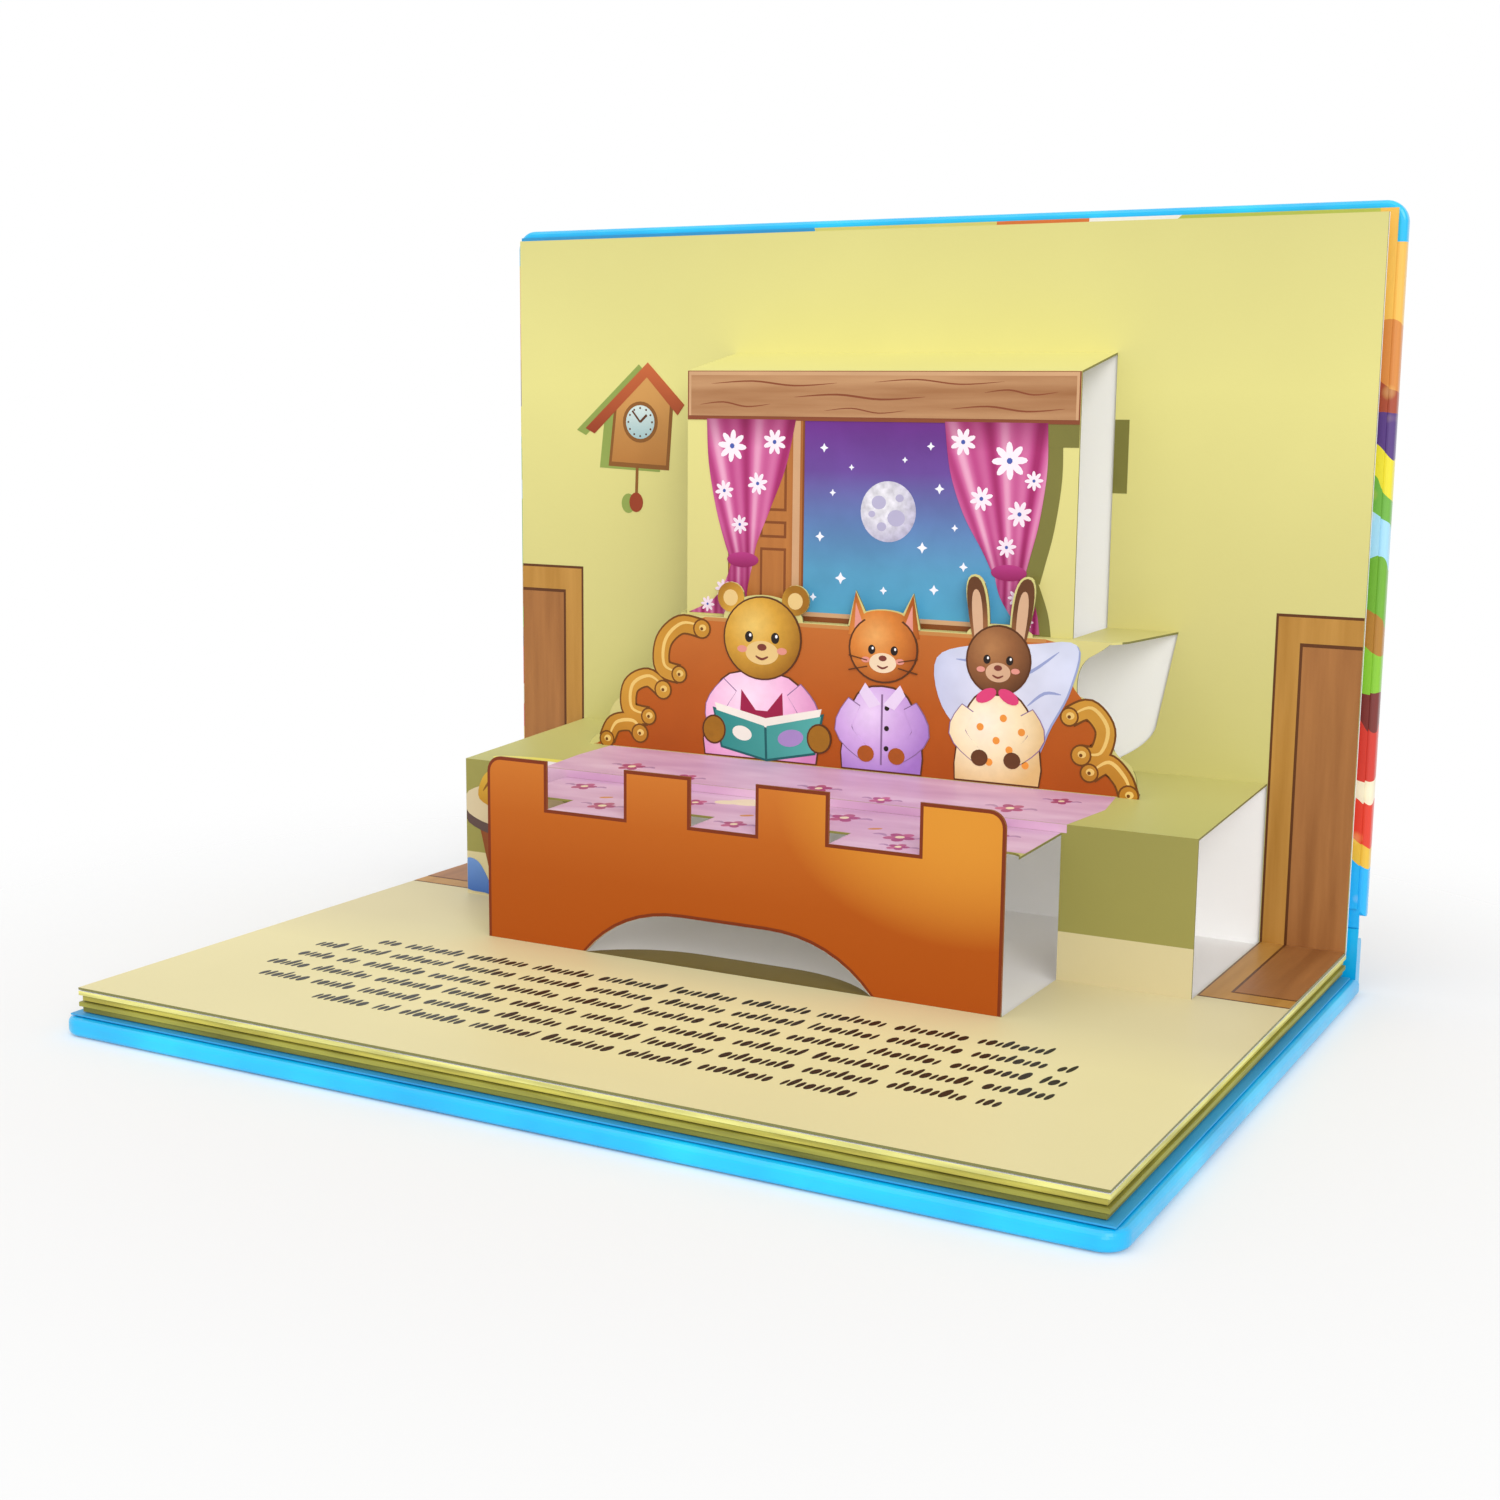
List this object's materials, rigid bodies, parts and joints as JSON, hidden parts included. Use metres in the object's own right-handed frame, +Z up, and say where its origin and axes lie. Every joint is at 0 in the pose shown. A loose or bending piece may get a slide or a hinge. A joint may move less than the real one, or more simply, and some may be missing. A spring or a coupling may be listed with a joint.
{
  "type": "pop up book",
  "caption": "Hardback pop-up book standing open at a right angle, its folded die-cut card scene raised from the gutter.",
  "frame": {"origin": "middle of the underside of the book's bounding box, on the surface it stands on", "axes": "+X along the spine, to the viewer's right; +Y to the back, where the spine and the standing cover are; +Z up"},
  "size_m": [0.288, 0.2162, 0.2194],
  "materials": {
    "cover_film": "glossy film over padded board",
    "lining_paper": "coated paper",
    "leaf_card": "stacked printed card edges",
    "white_card": "unprinted matte card",
    "printed_card": "printed and lightly varnished card"
  },
  "bodies": {
    "back_half": {"back_cover": "cover_film", "back_lining": "lining_paper", "closed_leaves": "leaf_card", "standing_leaf": "white_card", "popup_sheet": "printed_card"},
    "spine": {"spine": "cover_film"},
    "front_cover": {"front_cover": "cover_film", "front_lining": "lining_paper"}
  },
  "joints": [
    {"name": "spine_hinge", "type": "hinge", "parent": "back_half", "child": "spine", "pos_m": [0, 0.10808, 0], "axis": [-1, 0, 0], "range_deg": [0, 90]},
    {"name": "cover_hinge", "type": "hinge", "parent": "spine", "child": "front_cover", "pos_m": [0, 0.10387, 0.01885], "axis": [1, 0, 0], "range_deg": [-72, 0]}
  ]
}
